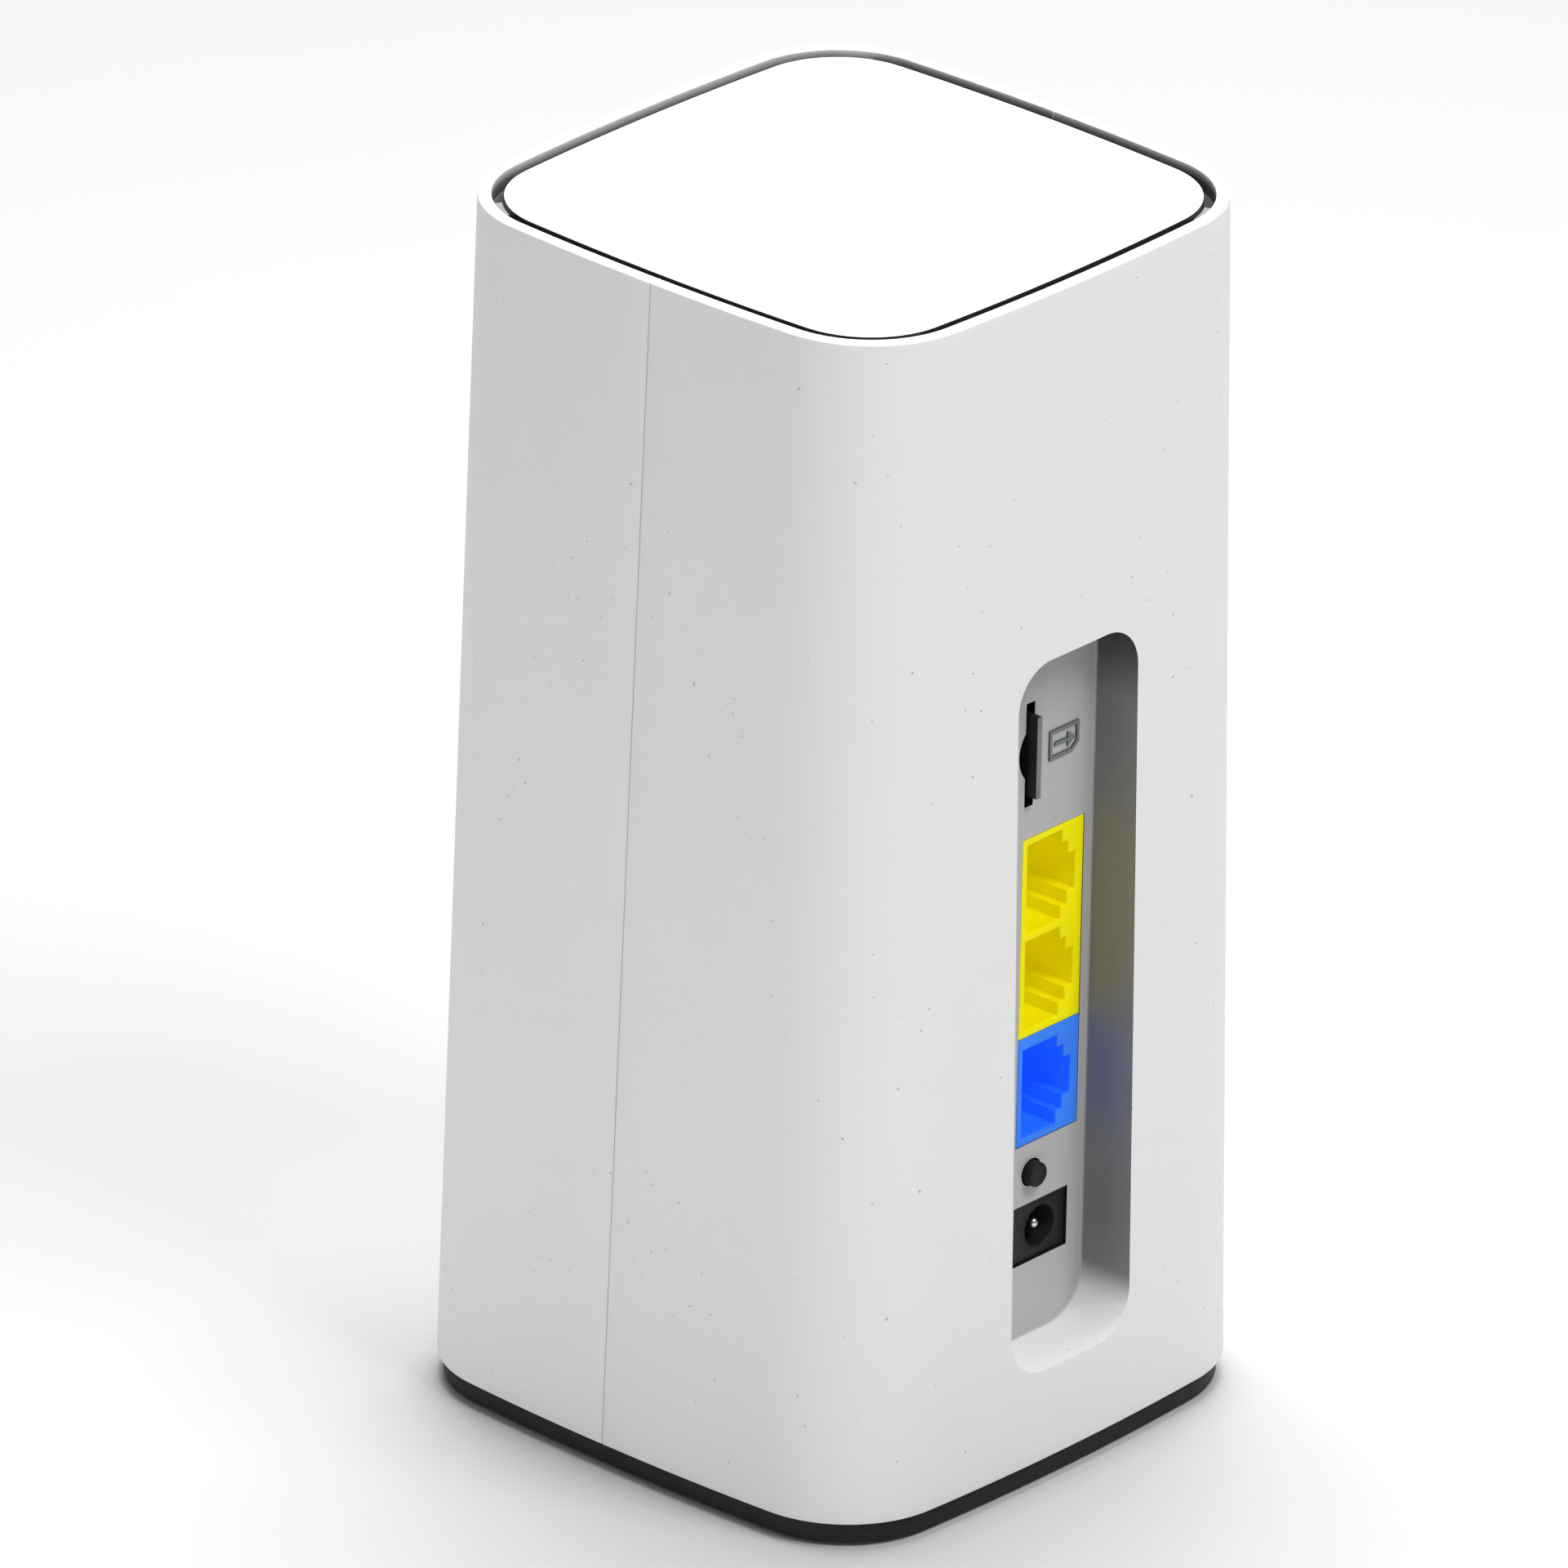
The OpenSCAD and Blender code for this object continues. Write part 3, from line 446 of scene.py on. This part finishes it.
def speckled_shell(name, colour, shade=None):
    """Shell plastic: fine grain with sparse dark specks. shade(nodes, colour), if given, paints shade and light
    into its tone by place.
    """
    n = Nodes(name)
    cells = n.add("ShaderNodeTexVoronoi", Scale=620.0)
    n.join(n.place, cells.inputs["Vector"])
    pick = n.add("ShaderNodeSeparateColor")
    n.join(cells.outputs["Color"], pick.inputs["Color"])
    rare = n.math("GREATER_THAN", pick.outputs["Red"], 0.86)
    size = n.ramp(pick.outputs["Green"], 0, 1, 0.05, 0.15)
    spot = n.math("MULTIPLY", rare, n.math("LESS_THAN", cells.outputs["Distance"], size))
    spot = n.math("MULTIPLY", spot, n.ramp(pick.outputs["Blue"], 0, 1, 0.12, 0.6))
    plain = n.mix(n.noise(60, 4), tone(colour, 0.985), tone(colour, 1.01))
    if shade:
        plain = shade(n, plain)
    n.colour(n.mix(spot, plain, grey(0.2)))
    n.roughness(n.ramp(n.noise(800, 4), 0.3, 0.7, 0.5, 0.6))
    n.bump(n.noise(3800, 3), 0.1)
    n.set(Specular_IOR_Level=0.3)
    return n.mat


def recess_shade(n, panel):
    """Painted shade and light in the recess: its walls are painted darker than its panel, near black at the
    top, and its bottom is painted bright.
    """
    # Painted shade: grey walls, near black at the top; painted light: near white at the bottom.
    wall, low, high = grey(0.25), grey(0.97), grey(0.03)
    bottom_light_mask = n.ramp(n.along("Z"), RECESS_LOW_Z + 3 * MM, RECESS_LOW_Z + 9 * MM, smooth=True)
    top_shade_mask = n.ramp(n.along("Z"), RECESS_HIGH_Z - 15 * MM, RECESS_HIGH_Z - 1 * MM, smooth=True)
    off_panel = n.ramp(n.along("Y"), PANEL_Y + 0.1 * MM, PANEL_Y + 0.5 * MM)
    return n.mix(off_panel, panel, n.mix(top_shade_mask, n.mix(bottom_light_mask, low, wall), high))


def groove_shade(n, colour):
    """Painted shade: the groove's wall is painted darker below the rim."""
    return n.mix(n.ramp(n.along("Z"), TOP_Z - 1.6 * MM, TOP_Z - 0.1 * MM), grey(0.14), colour)


def cover_white(name, colour):
    """The cover: white, with painted shade: its side below the rounded edge is painted black, fading in over
    the edge.
    """
    n = Nodes(name)
    # Painted shade: black below the cover's top, where the groove lies in shade.
    painted_shade_ramp = n.ramp(n.along("Z"), COVER_HIGH[2] - 0.12 * MM, COVER_HIGH[2] - 0.01 * MM, smooth=True)
    plain = n.mix(n.noise(70, 3), tone(colour, 0.99), tone(colour, 1.01))
    n.colour(n.mix(painted_shade_ramp, PAINTED_SHADE_BLACK, plain))
    n.roughness(n.ramp(n.noise(600, 4), 0.3, 0.7, 0.38, 0.46))
    n.bump(n.noise(4200, 2), 0.05)
    return n.mat


def vent_grey(name, colour):
    """The vent frame: light where its ribs come up to the groove, painted black below as shade."""
    n = Nodes(name)
    # Painted shade: black from just below the rib tops downwards.
    painted_shade_fade = n.ramp(n.along("Z"), RIB_HIGH_Z - 0.8 * MM, RIB_HIGH_Z - 0.2 * MM, smooth=True)
    light = n.mix(n.noise(300, 3), tone(colour, 0.95), tone(colour, 1.05))
    n.colour(n.mix(painted_shade_fade, PAINTED_SHADE_BLACK, light))
    n.roughness(n.ramp(n.noise(700, 3), 0.3, 0.7, 0.5, 0.6))
    n.bump(n.noise(5000, 2), 0.1)
    return n.mat


def rubber(name, colour):
    return plastic(name, colour, 0.8, 0.3, 0.25, 0.15)


def metal(name, colour, rough, stretch=(1, 1, 30)):
    """Drawn, plated or brushed metal, with fine streaks along one direction."""
    n = Nodes(name)
    streak = n.noise(900, 4, stretch)
    n.colour(n.mix(streak, tone(colour, 0.88), tone(colour, 1.08)))
    n.roughness(n.ramp(streak, 0.3, 0.7, rough - 0.08, rough + 0.08))
    n.bump(streak, 0.08, 0.00002)
    n.set(Metallic=1.0)
    return n.mat


def circuit_board(name, colour):
    """Solder mask over copper tracks, with bare pads."""
    n = Nodes(name)
    tracks = n.add("ShaderNodeTexBrick", Scale=1.0, offset=0.5)
    pattern = {"Mortar Size": 0.00022, "Brick Width": 0.006, "Row Height": 0.0014, "Bias": -0.4}
    for key, value in pattern.items():
        tracks.inputs[key].default_value = value
    turn = n.add("ShaderNodeMapping")
    turn.inputs["Rotation"].default_value = (math.pi / 2, 0, math.pi / 2)
    n.join(n.place, turn.inputs["Vector"])
    n.join(turn.outputs["Vector"], tracks.inputs["Vector"])
    mask = n.mix(n.noise(200, 3), tone(colour, 0.85), tone(colour, 1.15))
    n.colour(n.mix(tracks.outputs["Fac"], mask, tone(colour, 2.2)))
    n.roughness(n.ramp(n.noise(500, 3), 0.3, 0.7, 0.3, 0.42))
    n.bump(tracks.outputs["Fac"], 0.15)
    return n.mat


def lens(name, colour):
    """Frosted clear plastic."""
    n = Nodes(name)
    n.colour(n.mix(n.noise(500, 3), tone(colour, 0.96), colour))
    n.roughness(n.ramp(n.noise(900, 3), 0.3, 0.7, 0.35, 0.5))
    n.bump(n.noise(4000, 2), 0.06)
    n.set(Transmission_Weight=0.5, IOR=1.49)
    return n.mat


def port_plastic(name, colour, inside, painted_glow):
    """Jack plastic, painted a deeper tone inside the sockets than on the face as shade. Its emission is painted
    light, strongest in the sockets and half as strong on the face; the plastic is no lamp."""
    n = Nodes(name)
    face = n.ramp(n.along("Y"), PANEL_Y - 0.6 * MM, PANEL_Y - 0.05 * MM, smooth=True)
    plain = n.mix(n.noise(160, 4), tone(colour, 0.97), tone(colour, 1.02))
    n.colour(n.mix(face, inside, plain))
    # Painted light: emission inside the sockets and, at half strength, on the face.
    n.join(n.mix(face, tone(inside, painted_glow), tone(colour, painted_glow / 2)), n.shader.inputs["Emission Color"])
    n.roughness(n.ramp(n.noise(500, 4), 0.3, 0.7, 0.42, 0.52))
    n.bump(n.noise(5200, 2), 0.08)
    n.set(Specular_IOR_Level=0.15, Emission_Strength=1.0)
    return n.mat


def lit_face_shaded_sides(name, face_colour, face_y):
    """Plastic with painted light and shade: its outward face, at face_y, is painted lighter than its sides,
    which are painted near black as shade.
    """
    n = Nodes(name)
    face = n.ramp(n.along("Y"), face_y - 0.13 * MM, face_y - 0.08 * MM)
    plain = n.mix(n.noise(300, 3), tone(face_colour, 0.96), tone(face_colour, 1.04))
    n.colour(n.mix(face, CARD_SIDE_SHADE, plain))
    n.roughness(n.ramp(n.noise(500, 4), 0.3, 0.7, 0.45, 0.55))
    n.bump(n.noise(5200, 2), 0.08)
    n.set(Specular_IOR_Level=0.3)
    return n.mat


def make_finishes():
    """One finish for each material slot of the record."""
    return {
        "shell_white": speckled_shell("shell white", grey(0.86)),
        "cover_white": cover_white("cover white painted edge shade", grey(0.93)),
        "vent_grey": vent_grey("vent grey painted depth shade", grey(0.26)),
        "base_black": plastic("base black", grey(0.012), 0.6, 0.2, 0.3, 0.1),
        "foot_rubber": rubber("foot rubber", grey(0.03)),
        "chassis_black": plastic("chassis black", (0.025, 0.025, 0.027), 0.5, 0.2, 0.4, 0.1),
        "board_green": circuit_board("board green", (0.02, 0.14, 0.06)),
        "sink_aluminium": metal("sink aluminium", (0.74, 0.75, 0.77), 0.32),
        "can_tin": metal("can tin", (0.7, 0.7, 0.68), 0.28, (1, 20, 1)),
        "chip_black": plastic("chip black", (0.03, 0.03, 0.034), 0.55, 0.3, 0.35, 0.1),
        "pad_grey": rubber("pad grey", (0.33, 0.38, 0.45)),
        # Painted light: the last number is an emission strength for the jack plastic, which is no lamp.
        "lan_yellow": port_plastic("port yellow painted glow", (1.0, 0.89, 0.0), (0.78, 0.69, 0.0), 0.22),
        "wan_blue": port_plastic("port blue painted glow", (0.05, 0.24, 1.0), (0.015, 0.15, 1.0), 0.3),
        "contact_gold": metal("contact gold", (0.83, 0.62, 0.25), 0.25, (20, 1, 1)),
        "jack_black": plastic("jack black", grey(0.015), 0.5, 0.1, 0.3, 0.08),
        "pin_metal": metal("pin metal", grey(0.8), 0.2, (1, 20, 1)),
        "button_black": plastic("button black", grey(0.011), 0.5, 0.12, 0.25, 0.08),
        # Painted light and shade: the card's face is painted lighter, its sides near black.
        "card_grey": lit_face_shaded_sides("card grey painted side shade", (0.21, 0.235, 0.25), CARD_HIGH[1]),
        "cap_dark": plastic("capacitor sleeve", (0.02, 0.025, 0.09), 0.3, 0.05, 0.5, 0.08),
        "inductor_grey": plastic("inductor grey", grey(0.1), 0.6, 0.3, 0.3, 0.12),
        "element_copper": metal("element copper", (0.75, 0.42, 0.24), 0.3, (1, 1, 20)),
        "lead_black": rubber("lead black", grey(0.025)),
        "lens_clear": lens("lens clear", (0.88, 0.9, 0.92)),
        "led_cream": plastic("led cream", (0.85, 0.85, 0.68), 0.35, 0.05, 0.5, 0.04),
        "cable_white": plastic("cable white", (0.78, 0.78, 0.72), 0.45, 0.1, 0.4, 0.05),
        "screw_steel": metal("screw steel", grey(0.62), 0.3, (1, 1, 1)),
    }


FINISH = make_finishes()
# Painted shade: the groove's wall is painted darker below the rim.
RIM_INSIDE = speckled_shell("rim inside painted shade", grey(0.8), groove_shade)
# Painted shade: the recess is painted greyer than the outside of the shell, and shaded further by recess_shade.
RECESS_PAINTED_SHADE = speckled_shell("recess painted shade", grey(0.54), recess_shade)
# Painted light and shade: the symbol's face is painted lighter, its sides near black.
SYMBOL_GREY = lit_face_shaded_sides("symbol grey painted side shade", (0.2, 0.22, 0.235), PANEL_Y + SYMBOL_H)
SLOT_OF = {part["node"]: part["material_slot"] for part in frame["record"]["subparts"]}


def stand_in(obj, node, body="root"):
    """obj is shown in place of a CAD node, in that node's finish."""
    obj.data.materials.clear()
    obj.data.materials.append(FINISH[SLOT_OF[node]])
    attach(obj, body)
    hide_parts(node)


# ---- shells
def wall_profile():
    """The wall's section: up the outside, over the rim, down the inside."""
    edge = SHELL_EDGE
    out = arc(edge, BASE_Z + edge, edge, -90, 0, 4)
    out += [(0, z) for z in steps(BASE_Z + 2 * MM, TOP_Z - 1 * MM, 46)]
    out += arc(edge, TOP_Z - edge, edge, 0, 90, 4)
    edge = RIM_INNER_EDGE
    out += arc(WALL - edge, TOP_Z - edge, edge, 90, 180, 4)
    out += [(WALL, z) for z in steps(TOP_Z - 3 * MM, BASE_Z, 8)]
    return out


def rear_surface_y(x, z):
    """Y of the rear shell's outer face."""
    return half_at(z) - SIDE_R + math.sqrt(SIDE_R ** 2 - x * x)


def well_block():
    """The walls and the floor of the recess, before it is hollowed. Its open end follows the shell's face."""
    outline = round_outline(-RECESS_W / 2 - RECESS_T, RECESS_W / 2 + RECESS_T,
                            RECESS_LOW_Z - RECESS_T, RECESS_HIGH_Z + RECESS_T, RECESS_R + RECESS_T)
    bm = bmesh.new()
    back = [bm.verts.new((x, PANEL_Y - RECESS_T, z)) for x, z in outline]
    front = [bm.verts.new((x, rear_surface_y(x, z) - WALL / 2, z)) for x, z in outline]
    grid_faces(bm, [back, front], False, True)
    bm.faces.new(back)
    bm.faces.new(front)
    return finish_mesh(bm, "well block")


def recess_void():
    """What the recess is hollowed with: a rounded slot whose inner end is filleted."""
    rings = []
    f = RECESS_FILLET
    for t in steps(0, math.pi / 2, 6):
        rings.append((PANEL_Y + f - f * math.cos(t), f - f * math.sin(t)))
    rings.append((BODY_HALF + 5 * MM, 0))
    bm = bmesh.new()
    rows = []
    for y, inset in rings:
        outline = round_outline(inset - RECESS_W / 2, RECESS_W / 2 - inset, RECESS_LOW_Z + inset,
                                RECESS_HIGH_Z - inset, RECESS_R - inset)
        rows.append([bm.verts.new((x, y, z)) for x, z in outline])
    grid_faces(bm, rows, False, True)
    bm.faces.new(rows[0])
    bm.faces.new(rows[-1])
    return finish_mesh(bm, "recess void")


def box_outline(low, high):
    """Outline of the cut-out for a jack that fills the box."""
    return [(low[0] - CUT_GAP, low[2] - CUT_GAP), (high[0] + CUT_GAP, low[2] - CUT_GAP),
            (high[0] + CUT_GAP, high[2] + CUT_GAP), (low[0] - CUT_GAP, high[2] + CUT_GAP)]


def slot_outline():
    """The card's slot with the finger notch on its +X side."""
    x = (CARD_LOW[0] + CARD_HIGH[0]) / 2
    z = (CARD_LOW[2] + CARD_HIGH[2]) / 2
    right = x + SLOT_W / 2
    half = (CARD_HIGH[2] - CARD_LOW[2]) / 2 + SLOT_SPARE
    centre = right + NOTCH_OUT - NOTCH_R
    reach = math.acos((right - centre) / NOTCH_R)
    left = x - SLOT_W / 2
    notch = [(centre + NOTCH_R * math.cos(t), z + NOTCH_R * math.sin(t)) for t in steps(-reach, reach, 20)]
    return [(left, z - half), (right, z - half)] + notch + [(right, z + half), (left, z + half)]


def port_outlines():
    """Outlines of the cut-outs in the recess floor."""
    jacks = box_outline(WAN_LOW, LAN_HIGH)
    power = box_outline(DC_LOW, DC_HIGH)
    button = circle_outline((BUTTON_LOW[0] + BUTTON_HIGH[0]) / 2, (BUTTON_LOW[2] + BUTTON_HIGH[2]) / 2,
                            BUTTON_HOLE_R)
    return [jacks, power, button, slot_outline()]


def rear_shell():
    shell = swept("rear_shell_skin", half_stations(0), wall_profile(), False)
    boolean(shell, well_block(), "UNION")
    boolean(shell, recess_void(), "DIFFERENCE")
    for outline in port_outlines():
        boolean(shell, extruded("cut", outline, PANEL_Y - 2 * RECESS_T, PANEL_Y + 0.5 * MM), "DIFFERENCE")
    smooth_by_angle(shell, 30)
    stand_in(shell, "rear_shell")
    paint_shade_inside(shell)


def paint_shade_inside(shell):
    """Paints shade away from the outside: the groove's wall gets painted shade, the recess is painted greyer
    than the outside as shade, and the edges of the cut-outs in the recess floor are black."""
    rim, recess, cut_edge = 1, 2, 3
    for mat in (RIM_INSIDE, RECESS_PAINTED_SHADE, FINISH["jack_black"]):
        shell.data.materials.append(mat)
    slack = 0.05 * MM
    for face in shell.data.polygons:
        x, y, z = face.center
        inward = -(face.normal.x * x + face.normal.y * y) / math.hypot(x, y)
        in_opening = abs(x) < RECESS_W / 2 + slack and RECESS_LOW_Z - slack < z < RECESS_HIGH_Z + slack
        if z > TOP_Z - GROOVE_DEPTH and inward > 0.4:
            face.material_index = rim
        elif in_opening and PANEL_Y - 0.02 * MM < y < rear_surface_y(x, z) - 0.1 * MM:
            face.material_index = recess
        elif in_opening and PANEL_Y - RECESS_T < y < PANEL_Y:
            face.material_index = cut_edge


def front_shell():
    shell = swept("front_shell_skin", half_stations(2), wall_profile(), False)
    for z in LIGHT_Z:
        outline = circle_outline(0, z, LIGHT_HOLE_R, 32)
        boolean(shell, extruded("hole", outline, -BODY_HALF - 2 * MM, 5 * MM - BODY_HALF), "DIFFERENCE")
    smooth_by_angle(shell, 30)
    stand_in(shell, "front_shell")
    paint_shade_inside(shell)


# ---- top cover
def top_cover():
    edge = COVER_EDGE
    low, high = COVER_LOW[2] + COVER_SKIRT, COVER_HIGH[2]

    def level(z):
        """Inset at height z of a side that stands upright, a groove's width in from the rim."""
        return WALL + GROOVE_W - (half_at(TOP_Z) - half_at(z))

    profile = [(level(low) + edge, low), (level(low), low + edge)]
    profile += [(level(z) + i, z) for i, z in arc(edge, high - edge, edge, 0, 90, 6)]
    cover = swept("top_cover_skin", full_stations(), profile, True)
    stand_in(cover, "top_cover")


# ---- the card's symbol on the recess floor: an outlined card with a cut corner, and an arrow in it
def raised_outline(name, outline, width, y0, y1):
    """A raised line of a given width along a closed outline of (x, z) points."""
    n = len(outline)
    inner = []
    for k in range(n):
        a, b, c = (Vector(outline[(k + d) % n]) for d in (-1, 0, 1))
        d1, d2 = (b - a).normalized(), (c - b).normalized()
        n1, n2 = Vector((-d1.y, d1.x)), Vector((-d2.y, d2.x))
        side = (n1 + n2).normalized()
        inner.append(b + side * width / side.dot(n1))
    bm = bmesh.new()
    rings = [[bm.verts.new((x, y, z)) for x, z in line] for line, y in
             ((outline, y0), (outline, y1), (inner, y1), (inner, y0))]
    grid_faces(bm, rings, True, True)
    return finish_mesh(bm, name, 20)


def card_symbol():
    y0, y1 = PANEL_Y - 0.05 * MM, PANEL_Y + SYMBOL_H
    card = raised_outline("card_symbol", [(x * MM, z * MM) for x, z in SYMBOL_CARD], SYMBOL_LINE, y0, y1)
    arrow = extruded("card_symbol_arrow", [(x * MM, z * MM) for x, z in SYMBOL_ARROW], y0, y1)
    for piece in (card, arrow):
        piece.data.materials.append(SYMBOL_GREY)
        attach(piece, "root")


# ---- CAD nodes
def dress_cad_nodes():
    """Each carried-over node gets the finish of its slot."""
    for name, obj in frame["nodes"].items():
        if not obj.material_slots:
            obj.data.materials.append(None)
        for place in obj.material_slots:
            place.material = FINISH[SLOT_OF[name]]


# ---- studio
def floor():
    bm = bmesh.new()
    bmesh.ops.create_grid(bm, x_segments=2, y_segments=2, size=4)
    plane = finish_mesh(bm, "floor")
    n = Nodes("floor")
    n.colour(n.mix(n.noise(3, 3), grey(0.64), grey(0.66)))
    n.roughness(n.ramp(n.noise(20, 3), 0.3, 0.7, 0.75, 0.85))
    n.set(Specular_IOR_Level=0.1)
    plane.data.materials.append(n.mat)


def softbox(name, azimuth, elevation, size, power):
    """A round softbox that faces the object."""
    light = bpy.data.lights.new(name, "AREA")
    light.shape = "DISK"
    light.size = size
    light.energy = power
    obj = bpy.data.objects.new(name, light)
    a, e = math.radians(azimuth), math.radians(elevation)
    toward = Vector((math.sin(a) * math.cos(e), math.cos(a) * math.cos(e), math.sin(e)))
    centre = Vector((0, 0, (BASE_Z + TOP_Z) / 2))
    obj.location = centre + toward * SOFTBOX_DISTANCE
    obj.rotation_euler = (-toward).to_track_quat("-Z", "Y").to_euler()
    bpy.context.collection.objects.link(obj)


def studio():
    floor()
    for values in SOFTBOXES:
        softbox(*values)
    world = bpy.data.worlds.new("studio")
    world.use_nodes = True
    background = world.node_tree.nodes["Background"]
    background.inputs["Color"].default_value = (1, 1, 1, 1)
    background.inputs["Strength"].default_value = WORLD_STRENGTH
    bpy.context.scene.world = world
    bpy.context.scene.view_settings.view_transform = "Standard"


def camera():
    azimuth, elevation, roll = math.radians(AZIMUTH), math.radians(ELEVATION), math.radians(ROLL)
    back = Vector((math.sin(azimuth) * math.cos(elevation), -math.cos(azimuth) * math.cos(elevation),
                   math.sin(elevation)))
    right = (-back).cross(Vector((0, 0, 1))).normalized()
    up = right.cross(-back)
    right_rolled = right * math.cos(roll) + up * math.sin(roll)
    up_rolled = up * math.cos(roll) - right * math.sin(roll)
    place = TARGET + back * DISTANCE
    forward = (TARGET - right_rolled * AIM_LEFT - up_rolled * AIM_DOWN - place).normalized()
    side = forward.cross(up_rolled).normalized()
    level = side.cross(forward)
    data = bpy.data.cameras.new("camera")
    data.lens = LENS
    data.sensor_width = SENSOR
    data.clip_end = 20
    obj = bpy.data.objects.new("camera", data)
    obj.matrix_world = Matrix.Translation(place) @ Matrix((side, level, -forward)).transposed().to_4x4()
    bpy.context.collection.objects.link(obj)
    bpy.context.scene.camera = obj


def main():
    dress_cad_nodes()
    rear_shell()
    front_shell()
    top_cover()
    card_symbol()
    for node, (width, body) in SOFTENED.items():
        stand_in(softened(node + "_shown", node, width * MM), node, body)
    studio()
    camera()


main()


def plain(box):
    return [[float(v) for v in corner] for corner in box]
